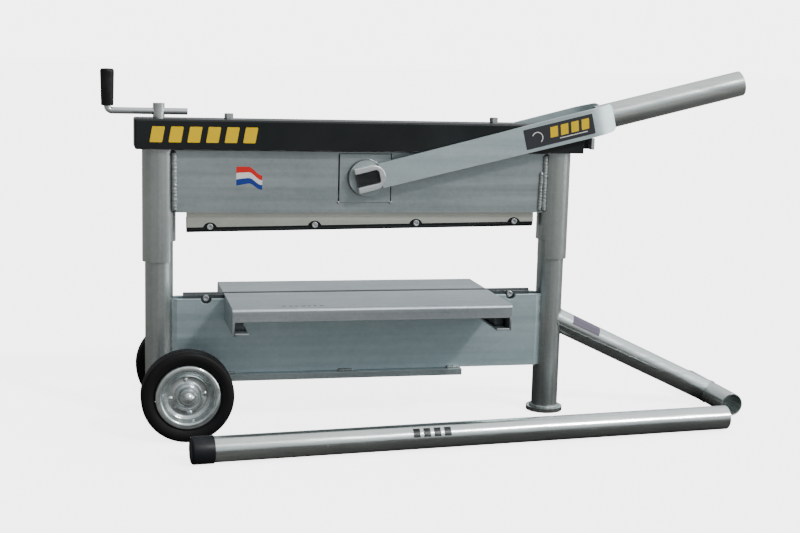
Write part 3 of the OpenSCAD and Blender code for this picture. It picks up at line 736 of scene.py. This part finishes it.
def wheel(side, s):
    """Tyre, the two rim halves as one turned piece, and on each face a thin dark disc, painted shade where the
    valve hole is.
    """
    body = f"wheel_{side}"
    tyre = centre(f"{side}_tyre")
    axis = Vector((0, s, 0))
    segments = 160
    turned(f"{side}_tyre_ribbed", tyre_profile(), tyre, axis, TYRE, body, segments,
           f"{side}_tyre")
    bm = bmesh.new()
    profile = [(r * MM, d * MM) for r, d in rim_profile()]
    lathe(bm, profile, tyre, axis, segments)
    lathe(bm, profile, tyre, -axis, segments)
    rim = piece_from(f"{side}_rim_pressed", bm, RIM, body)
    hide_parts(f"{side}_rim")
    turn = math.radians(222)
    valve_r, disc_face = 29.5 * MM, 4.4 * MM
    # A thin near-black disc on each face: painted shade where the valve hole shows dark.
    hole = [(0.0, 0.12), (2.3, 0.12), (2.5, 0.02), (0.0, 0.02)]
    for count, out in enumerate((axis, -axis)):
        spot = tyre + Vector((math.cos(turn), 0, math.sin(turn))) * valve_r + out * disc_face
        turned(f"{side}_valve_hole_shade_{count}", hole, spot, out, BLADE_STEEL_AND_SHADE, body, 32)


def extension_cap():
    """The loose tube's rubber cap, with a round shoulder. Returns the cap's end and the tube's axis."""
    mouth = MOUNTS["extension_mouth"]
    cap_floor = 4
    axis = Vector(mouth["axis"])
    middle = Vector(mouth["pos_m"])
    start = middle - axis * (mouth["dims"]["length_mm"] / 2 + cap_floor) * MM
    profile = [(0.0, 0.0), (18.6, 0.0)] + arc_points(18.9, 5.0, 5.0, 270, 360, 7)
    profile += [(24.0, 37.4), (23.5, 38.6), (22.6, 39.0), (22.35, 39.0), (22.35, 4.2), (0.0, 4.2)]
    turned("extension_cap_moulded", profile, start, axis, CAP, "extension", 96,
           "extension_cap")
    return start, axis


def shaft_gap_shade_rings():
    """A dark ring round the shaft on each bearing's face: painted shade in the gap between the shaft and the
    bearing.
    """
    low = corners("front_bearing")[0]
    inner = JOURNAL_R / MM + 0.1
    outer = inner + 1.9
    ring = [(inner, 0.02), (outer, 0.02), (outer - 0.2, 0.45), (inner, 0.45)]
    for side, s in SIDES:
        spot = Vector((HUB.x, s * -low.y, HUB.z))
        turned(f"journal_gap_shade_{side}", ring, spot, Vector((0, s, 0)), BLADE_STEEL_AND_SHADE, "head", 96)


# ---------------------------------------------------------------- springs
def coil_path(spot, radius, wire, low, high, turns):
    """A compression spring's centre line, its first and last turn closed."""
    steps = 20
    closed = 2.1 * wire
    first = low + wire
    last = high - wire
    open_pitch = (last - first - 2 * closed) / (turns - 2)
    path = []
    for i in range(turns * steps + 1):
        t = i / steps
        if t < 1:
            z = first + t * closed
        elif t > turns - 1:
            z = last - (turns - t) * closed
        else:
            z = first + closed + (t - 1) * open_pitch
        angle = math.tau * t
        path.append(Vector((spot.x + radius * math.cos(angle), spot.y + radius * math.sin(angle), z)))
    return path


def spring_set(node, radius, wire, turns, body):
    """Replaces a node's springs by wound wire."""
    low, high = corners(node)
    cad = frame["nodes"][node].data.vertices
    outer = radius + wire
    bm = bmesh.new()
    for x in (low.x + outer, high.x - outer):
        for y in sorted({round(low.y + outer, 6), round(high.y - outer, 6)}):
            foot = min(v.co.z for v in cad if abs(v.co.x - x) < outer)
            path = coil_path(Vector((x, y)).to_3d(), radius, wire, foot, high.z, turns)
            rings = []
            for i, here in enumerate(path):
                before = path[max(i - 1, 0)]
                after = path[min(i + 1, len(path) - 1)]
                side, up = across((after - before).normalized())
                rings.append([here + (side * math.cos(a) + up * math.sin(a)) * wire for a in full_turn(8)])
            sweep_rings(bm, rings)
    coils = piece_from(f"{node}_wound", bm, DARK_STEEL_AND_SHADE, body)
    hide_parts(node)
    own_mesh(coils)


def table_springs():
    """Under each table, standing on the base."""
    for side in ("front", "rear"):
        spring_set(f"{side}_springs", radius=5.5 * MM, wire=1.2 * MM, turns=6, body="base")


def return_springs():
    """Between the blade holder and the head's top plate."""
    spring_set("return_springs", radius=7.5 * MM, wire=1.5 * MM, turns=16, body="head")


# ---------------------------------------------------------------- stickers and prints
def tube_patch(name, origin, axis, radius, span, angles, material, body):
    """A thin print wrapped on a tube: span along its axis, angles from straight up towards the front."""
    under, over = 0.02 * MM, 0.15 * MM
    section = ((span[0], under), (span[0], over), (span[1], over), (span[1], under))
    steps = 8
    front = Vector((0, -1, 0))
    front = (front - axis * front.dot(axis)).normalized()
    up = axis.cross(front) * (1 if axis.cross(front).z > 0 else -1)
    rings = []
    for k in range(steps + 1):
        a = math.radians(angles[0] + (angles[1] - angles[0]) * k / steps)
        out = up * math.cos(a) + front * math.sin(a)
        rings.append([origin + axis * d + out * (radius + lift) for d, lift in section])
    bm = bmesh.new()
    sweep_rings(bm, rings)
    return piece_from(name, bm, material, body, smooth=False)


def slanted(x, width, low, high, lean):
    """A bar whose top leans to the right."""
    right = x + width
    return [Vector((x, low)), Vector((right, low)), Vector((right + lean, high)), Vector((x + lean, high))]


def cover_marks():
    """A row of slanted bars on the cover's front."""
    low, high = corners("chain_cover")
    place = on_front(low.x + 26 * MM, low.y - 0.05 * MM, low.z)
    pitch = 33 * MM
    for k in range(6):
        outline = rounded_outline(slanted(k * pitch, 22 * MM, 13 * MM, 41 * MM, 5 * MM), 1.6 * MM, 3)
        sticker_piece(f"cover_mark_{k}", outline, place, 0.25 * MM, YELLOW, "head")


def arm_label():
    """A dark label on the front arm: an arc, four slanted bars and a line, printed on it."""
    body, slot = "lever", "galvanised"
    place = LEVER @ on_front(0, -ARM_FACE - 0.05 * MM, 0)
    outline = rounded_outline(rectangle(306 * MM, 445 * MM, -19 * MM, 19 * MM), 1.5 * MM, 3)
    sticker_piece("arm_label", outline, place, 0.3 * MM, CHARCOAL, body)
    place = LEVER @ on_front(0, -ARM_FACE - 0.4 * MM, 0)
    ink = 0.15 * MM
    for k in range(4):
        bar = slanted((356 + k * 21) * MM, 15 * MM, -7 * MM, 12.5 * MM, 3 * MM)
        outline = rounded_outline(bar, 1.2 * MM, 3)
        sticker_piece(f"arm_label_mark_{k}", outline, place, ink, YELLOW, body)
    line = rectangle(374 * MM, 430 * MM, -12.4 * MM, -10.8 * MM)
    sticker_piece("arm_label_line", line, place, ink, WHITE, body)
    arc = arc_points(331, -1, 11, -60, 150, 20) + arc_points(331, -1, 9.4, 150, -60, 20)
    sticker_piece("arm_label_arc", [Vector(v) * MM for v in arc], place, ink, WHITE, body)


def stripe_sticker():
    """Three waving stripes on the front plate, tapering to the right."""
    face = corners("upper_front_plate")[0].y
    place = on_front(MID_X - 238 * MM, face - 0.05 * MM, 0)
    width = 47 * MM
    left_stripe = 11.5 * MM
    right_stripe = 8.5 * MM
    fall = 16 * MM
    top = 477 * MM
    steps = 16

    def edge(row, u):
        """Height of the upper edge of a row: level to the middle, then falling."""
        bend = max(0.0, (u - 0.45) / 0.55)
        stripe = left_stripe + (right_stripe - left_stripe) * u
        return top - fall * (1 - math.cos(bend * math.pi)) / 2 - row * stripe

    for row, material in enumerate((RED, WHITE, BLUE)):
        shares = [k / steps for k in range(steps + 1)]
        upper = [Vector((width * u, edge(row, u))) for u in shares]
        lower = [Vector((width * u, edge(row + 1, u))) for u in reversed(shares)]
        sticker_piece(f"stripe_sticker_{row}", upper + lower, place, 0.2 * MM, material,
                      "head")


def tube_prints(start, axis):
    """Four dark patches on the loose tube, and a grey label on the strut."""
    for k in range(4):
        x0 = (384 + k * 19) * MM
        tube_patch(f"extension_mark_{k}", start, axis, TUBE_R, (x0, x0 + 13 * MM), (35, 78), BLADE_STEEL_AND_SHADE,
                   "extension")
    top = Vector((RIGHT.x, 0, STRUT_TOP))
    down = (centre("cross_tube") - top).normalized()
    tube_patch("strut_label", top, down, TUBE_R, (46 * MM, 108 * MM), (10, 75), LABEL_GREY,
               "base")


def table_print():
    """A row of small dark patches near the front table's edge."""
    low, high = corners("front_table")
    for k, width in enumerate((5, 7, 5, 8, 6, 5, 7)):
        place = Matrix.Translation((low.x + (90 + k * 11) * MM, low.y + 19 * MM, high.z + 0.02 * MM))
        patch = rectangle(0, width * MM, 0, 4.5 * MM)
        sticker_piece(f"table_mark_{k}", patch, place, 0.1 * MM, CHARCOAL, "table_front")


sleeve_welds()
post_welds()
strut_welds()
base_bar_welds()
axle_welds()
bearing_tacks()
socket_welds()
rolled_cover()
bent_table("front_table_sheet", "front_table", "table_front", -1)
bent_table("rear_table_sheet", "rear_table", "table_rear", 1)
bent_arm("front_arm_bar", "front_arm", -1)
bent_arm("rear_arm_bar", "rear_arm", 1)
bright_jaws()
for side_name, side_sign in SIDES:
    wheel(side_name, side_sign)
tube_prints(*extension_cap())
shaft_gap_shade_rings()
table_springs()
return_springs()
cover_marks()
arm_label()
stripe_sticker()
table_print()

# ---------------------------------------------------------------- camera and lights
CAMERA_PLACE = Vector((-0.8682, -2.4340, 0.6846))
CAMERA_YAW = math.radians(13.149)
CAMERA_PITCH = math.radians(9.023)
CAMERA_ROLL = math.radians(1.539)
CAMERA_LENS = 60.04


def add_camera():
    data = bpy.data.cameras.new("camera")
    data.lens = CAMERA_LENS
    camera = bpy.data.objects.new("camera", data)
    turn = Matrix.Rotation(-CAMERA_YAW, 4, "Z") @ Matrix.Rotation(math.pi / 2 - CAMERA_PITCH, 4, "X")
    camera.matrix_world = Matrix.Translation(CAMERA_PLACE) @ turn @ Matrix.Rotation(CAMERA_ROLL, 4, "Z")
    bpy.context.scene.collection.objects.link(camera)
    bpy.context.scene.camera = camera


# Strength of the tone shown behind the object, of the sky, and the greys of the ground that lights it
BACKDROP = 5.0
SKY_TOP = 1.35
NEAR_GROUND = 0.05
FAR_GROUND = 0.30
# The sky's greys by height: both ends first, then the stops between them
SKY_STOPS = ((0.0, 0.34), (0.9, 1.0), (0.15, 0.42), (0.4, 0.66))


def add_sun(name, towards, power, spread, colour=(1, 1, 1)):
    """A far, soft light that shines along a direction, its spread in degrees."""
    data = bpy.data.lights.new(name, "SUN")
    data.energy = power
    data.angle = math.radians(spread)
    data.color = colour
    light = bpy.data.objects.new(name, data)
    light.rotation_euler = Vector(towards).to_track_quat("-Z", "Y").to_euler()
    bpy.context.scene.collection.objects.link(light)


def camera_switch(tree, lit, shown):
    """What the object is lit by, and the plain pale tone that the picture shows behind it."""
    made = tree.nodes.new("ShaderNodeMix")
    made.data_type = "RGBA"
    path = tree.nodes.new("ShaderNodeLightPath")
    tree.links.new(path.outputs["Is Camera Ray"], made.inputs["Factor"])
    for name, value in (("A", lit), ("B", shown)):
        if isinstance(value, bpy.types.NodeSocket):
            tree.links.new(value, made.inputs[name])
        else:
            made.inputs[name].default_value = value
    return made.outputs["Result"]


def add_world():
    """A bright sky over a dim horizon, brighter to the right, so that round metal shows bands."""
    world = bpy.data.worlds.new("studio")
    bpy.context.scene.world = world
    world.use_nodes = True
    tree = world.node_tree
    background = tree.nodes["Background"]
    place = tree.nodes.new("ShaderNodeTexCoord").outputs["Generated"]
    split = tree.nodes.new("ShaderNodeSeparateXYZ")
    tree.links.new(place, split.inputs["Vector"])
    ramp = tree.nodes.new("ShaderNodeValToRGB")
    stops = ramp.color_ramp.elements
    elements = (stops[0], stops[1], stops.new(SKY_STOPS[2][0]), stops.new(SKY_STOPS[3][0]))
    for element, (position, grey) in zip(elements, SKY_STOPS):
        element.position = position
        element.color = (grey * 0.95, grey, grey * 1.04, 1)
    tree.links.new(split.outputs["Z"], ramp.inputs["Fac"])
    side = tree.nodes.new("ShaderNodeMapRange")
    side.inputs["From Min"].default_value = -1.0
    side.inputs["To Min"].default_value = 0.15 * SKY_TOP
    side.inputs["To Max"].default_value = 1.70 * SKY_TOP
    tree.links.new(split.outputs["X"], side.inputs["Value"])
    scaled = tree.nodes.new("ShaderNodeVectorMath")
    scaled.operation = "SCALE"
    tree.links.new(ramp.outputs["Color"], scaled.inputs[0])
    tree.links.new(side.outputs["Result"], scaled.inputs["Scale"])
    shown = camera_switch(tree, scaled.outputs["Vector"], (BACKDROP, BACKDROP, BACKDROP, 1))
    tree.links.new(shown, background.inputs["Color"])


def ground_tone(grey):
    """A slightly warm grey."""
    return rgb(grey * 1.03, grey, grey * 0.95)


def add_floor():
    """A pale floor that stays dim in the metal's reflections, as paving under the machine is."""
    floor_size = 60.0
    glow = 3.6
    s = Surface("floor_pale", specular=0.0)
    soft = s.noise(3.0, 3.0)
    pale = s.mix(soft, rgb(0.80, 0.80, 0.80), rgb(0.84, 0.84, 0.84))
    reach = s.tree.nodes.new("ShaderNodeVectorMath")
    reach.operation = "LENGTH"
    s.feed(reach.inputs[0], s.place)
    far = s.band(reach.outputs["Value"], 0.4, 2.2)
    ground = s.mix(far, ground_tone(NEAR_GROUND), ground_tone(FAR_GROUND))
    material = s.finish(camera_switch(s.tree, ground, pale), s.band(soft, 0.3, 0.7, 0.88, 0.96))
    glowing = camera_switch(s.tree, rgb(0, 0, 0), rgb(glow, glow, glow))
    s.feed(s.shader.inputs["Emission Color"], glowing)
    s.shader.inputs["Emission Strength"].default_value = 1.0
    bm = bmesh.new()
    bmesh.ops.create_grid(bm, x_segments=8, y_segments=8, size=floor_size)
    mesh = bpy.data.meshes.new("floor")
    bm.to_mesh(mesh)
    bm.free()
    mesh.materials.append(material)
    floor = bpy.data.objects.new("floor", mesh)
    floor.location.z = -0.0005
    bpy.context.scene.collection.objects.link(floor)


add_camera()
add_world()
add_floor()
add_sun("key", (-0.77, 1.0, -1.0), 2.2, 7.0, (1.0, 0.985, 0.95))
add_sun("right_fill", (-1.0, 0.30, -0.22), 0.9, 25.0)
